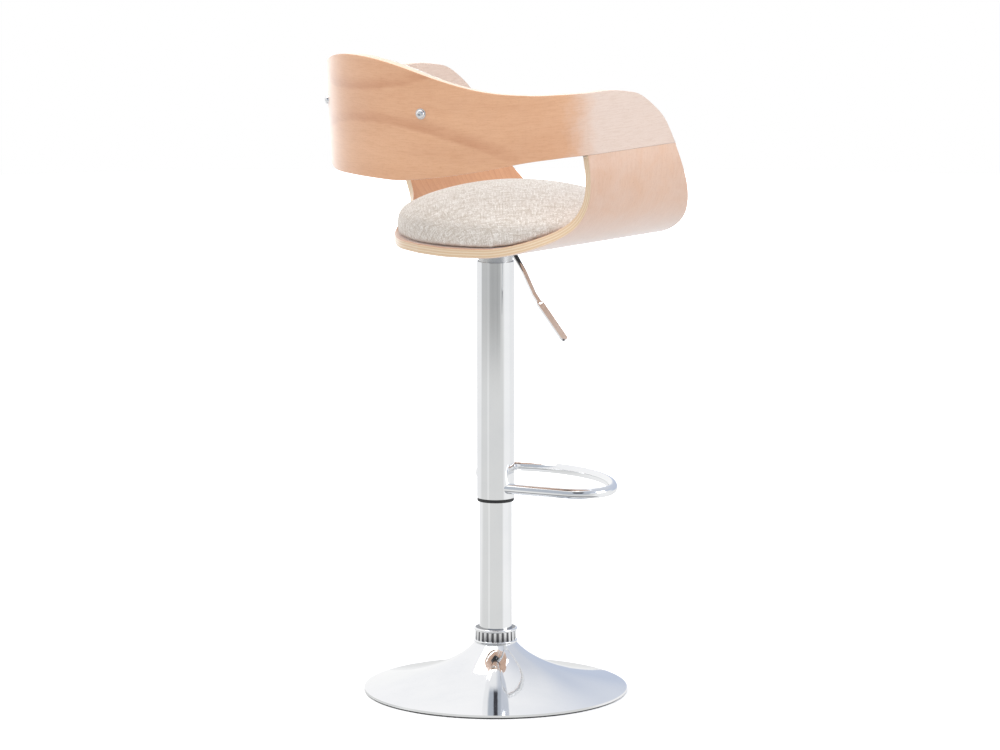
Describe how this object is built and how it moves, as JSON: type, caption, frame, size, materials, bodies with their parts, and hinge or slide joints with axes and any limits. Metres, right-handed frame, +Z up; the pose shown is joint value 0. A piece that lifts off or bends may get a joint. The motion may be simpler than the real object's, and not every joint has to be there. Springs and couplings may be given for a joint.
{
  "type": "adjustable swivel stool",
  "caption": "Height-adjustable swivel stool: bent-plywood tub seat with fabric cushion on a chrome gas column with foot loop and trumpet base.",
  "frame": {"origin": "centre of the base on the floor", "axes": "+Z up; the seat faces -Y; the lever is on the -X side, the sitter's right"},
  "size_m": [0.5, 0.4612, 0.9865],
  "materials": {
    "chrome": "polished chrome plating",
    "steel": "zinc-plated steel",
    "cast_iron": "rough cast",
    "brass": "plain",
    "black_paint": "satin black",
    "black_plastic": "moulded black plastic",
    "rubber": "matte",
    "beech_ply": "clear satin lacquer on beech veneer",
    "fabric": "woven melange linen"
  },
  "bodies": {
    "base": {"floor_mat": "rubber", "base_cover": "chrome", "base_weight": "cast_iron", "column_flange": "steel", "flange_bolts": "steel", "flange_nuts": "steel", "fluted_collar": "chrome", "lower_tube": "chrome", "rod_seat": "steel", "guide_bush": "black_plastic", "bearing_lower_race": "steel", "bearing_balls": "steel", "bearing_cage": "brass"},
    "rod": {"bearing_upper_race": "steel", "piston_rod": "steel", "retaining_clip": "steel", "bump_stop": "rubber", "piston": "steel"},
    "lift": {"gas_cylinder": "black_paint", "cylinder_gland": "black_plastic", "upper_tube": "chrome", "sleeve_cap": "black_plastic", "sleeve_end_ring": "black_plastic", "foot_loop": "chrome", "seat_plate": "black_paint", "plate_screws": "steel", "screw_inserts": "steel", "plate_socket": "steel", "lever_bracket": "black_paint", "lever_pin": "steel", "seat_shell": "beech_ply", "seam_dowels": "beech_ply", "back_band": "beech_ply", "seat_cushion": "fabric", "cushion_board": "beech_ply", "cushion_bolts": "steel", "back_pad": "fabric", "back_pad_board": "beech_ply", "back_bolts": "chrome", "back_washers": "chrome"},
    "lever": {"release_lever": "chrome"},
    "button": {"valve_button": "steel"}
  },
  "joints": [
    {"name": "seat_swivel", "type": "hinge", "parent": "base", "child": "rod", "pos_m": [0, 0, 0], "axis": [0, 0, 1], "continuous": true},
    {"name": "height_adjust", "type": "slide", "parent": "rod", "child": "lift", "axis": [0, 0, 1], "range_m": [-0.19, 0], "stiffness_N_per_m": 350, "springref_m": 1},
    {"name": "lever_pull", "type": "hinge", "parent": "lift", "child": "lever", "pos_m": [-0.034, 0, 0.6805], "axis": [0, 1, 0], "range_deg": [0, 7], "stiffness_Nm_per_rad": 2, "springref_deg": -11.46},
    {"name": "valve_press", "type": "slide", "parent": "lift", "child": "button", "axis": [0, 0, 1], "range_m": [-0.0055, 0]}
  ],
  "couplings": [
    {"joint": "valve_press", "follows": "lever_pull", "m_per_rad": -0.0385}
  ]
}
